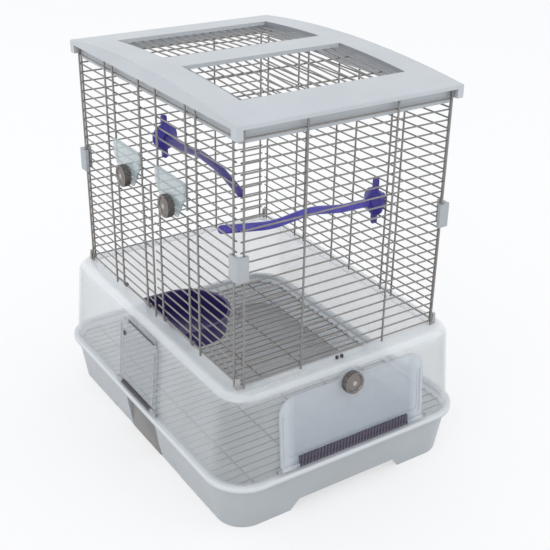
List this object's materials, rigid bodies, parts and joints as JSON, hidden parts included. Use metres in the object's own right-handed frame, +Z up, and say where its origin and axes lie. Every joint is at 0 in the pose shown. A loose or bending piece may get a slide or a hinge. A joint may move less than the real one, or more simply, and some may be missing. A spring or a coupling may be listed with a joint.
{
  "type": "bird cage",
  "caption": "Small wire bird cage with two drop-down front doors, a clear litter guard with hatches, a moulded tray and roof, seed cup and perches.",
  "frame": {"origin": "on the floor, under the centre of the cage", "axes": "+X to the right along the front, towards the end with the wide hatch; +Y from the front to the back; +Z up"},
  "size_m": [0.481, 0.369, 0.5127],
  "materials": {
    "tray_plastic": "satin moulded plastic, pale blue-grey",
    "roof_plastic": "satin moulded plastic, pale grey-blue",
    "guard_plastic": "clear, polished moulding",
    "door_plastic": "translucent pale blue moulding",
    "wire_paint": "satin coated wire, grey-brown",
    "steel": "plain drawn rod",
    "sleeve_plastic": "dark purple-grey tube",
    "knob_metal": "turned, dull",
    "latch_plastic": "translucent aqua moulding",
    "clip_plastic": "plain moulded clip",
    "cup_plastic": "blue-violet moulding",
    "perch_plastic": "blue-violet moulding with fine grip"
  },
  "bodies": {
    "cage": {"base_tray": "tray_plastic", "floor_grille": "wire_paint", "front_wires_right": "wire_paint", "front_wires_left": "wire_paint", "front_wires_top": "wire_paint", "front_centre_upright": "wire_paint", "front_sill_wire": "wire_paint", "back_wire_panel": "wire_paint", "left_wire_panel": "wire_paint", "right_wire_panel": "wire_paint", "roof_grille_right": "wire_paint", "roof_grille_left": "wire_paint", "debris_guard": "guard_plastic", "end_door_hinge_rod": "steel", "front_access_hinge_rod": "steel", "corner_posts": "steel", "corner_clips": "clip_plastic", "roof_frame": "roof_plastic", "upper_perch_mount": "perch_plastic", "upper_perch_nut": "perch_plastic", "upper_perch_rod": "perch_plastic", "lower_perch_mount": "perch_plastic", "lower_perch_nut": "perch_plastic", "lower_perch_rod": "perch_plastic"},
    "right_front_door": {"right_door": "wire_paint", "right_latch_plate": "latch_plastic"},
    "left_front_door": {"left_door": "wire_paint", "left_latch_plate": "latch_plastic"},
    "right_latch": {"right_latch_knob": "knob_metal", "right_latch_tongue": "knob_metal"},
    "left_latch": {"left_latch_knob": "knob_metal", "left_latch_tongue": "knob_metal"},
    "front_hatch": {"front_access_door": "door_plastic", "front_access_hinge_sleeve": "sleeve_plastic"},
    "end_hatch": {"end_access_door": "door_plastic", "end_door_hinge_sleeve": "sleeve_plastic"},
    "end_latch": {"end_door_knob": "knob_metal", "end_door_tongue": "knob_metal"},
    "cup": {"seed_cup": "cup_plastic"}
  },
  "joints": [
    {"name": "right_door_hinge", "type": "hinge", "parent": "cage", "child": "right_front_door", "pos_m": [0.05675, -0.1444, 0.191], "axis": [1, 0, 0], "range_deg": [0, 90]},
    {"name": "left_door_hinge", "type": "hinge", "parent": "cage", "child": "left_front_door", "pos_m": [-0.05675, -0.1444, 0.191], "axis": [1, 0, 0], "range_deg": [0, 90]},
    {"name": "right_latch_turn", "type": "hinge", "parent": "right_front_door", "child": "right_latch", "pos_m": [0.05675, -0.1516, 0.3624], "axis": [0, -1, 0], "range_deg": [0, 90]},
    {"name": "left_latch_turn", "type": "hinge", "parent": "left_front_door", "child": "left_latch", "pos_m": [-0.05675, -0.1516, 0.3624], "axis": [0, -1, 0], "range_deg": [0, 90]},
    {"name": "front_hatch_hinge", "type": "hinge", "parent": "cage", "child": "front_hatch", "pos_m": [0, -0.18082, 0.07728], "axis": [1, 0, 0], "range_deg": [0, 85]},
    {"name": "end_hatch_hinge", "type": "hinge", "parent": "cage", "child": "end_hatch", "pos_m": [0.23682, 0, 0.07728], "axis": [0, 1, 0], "range_deg": [0, 85]},
    {"name": "end_latch_turn", "type": "hinge", "parent": "end_hatch", "child": "end_latch", "pos_m": [0.22964, -0.006, 0.16528], "axis": [0.9967, 0, 0.0812], "range_deg": [0, 90]},
    {"name": "cup_lift", "type": "slide", "parent": "cage", "child": "cup", "axis": [0, 0, 1], "range_m": [0, 0.08]}
  ]
}
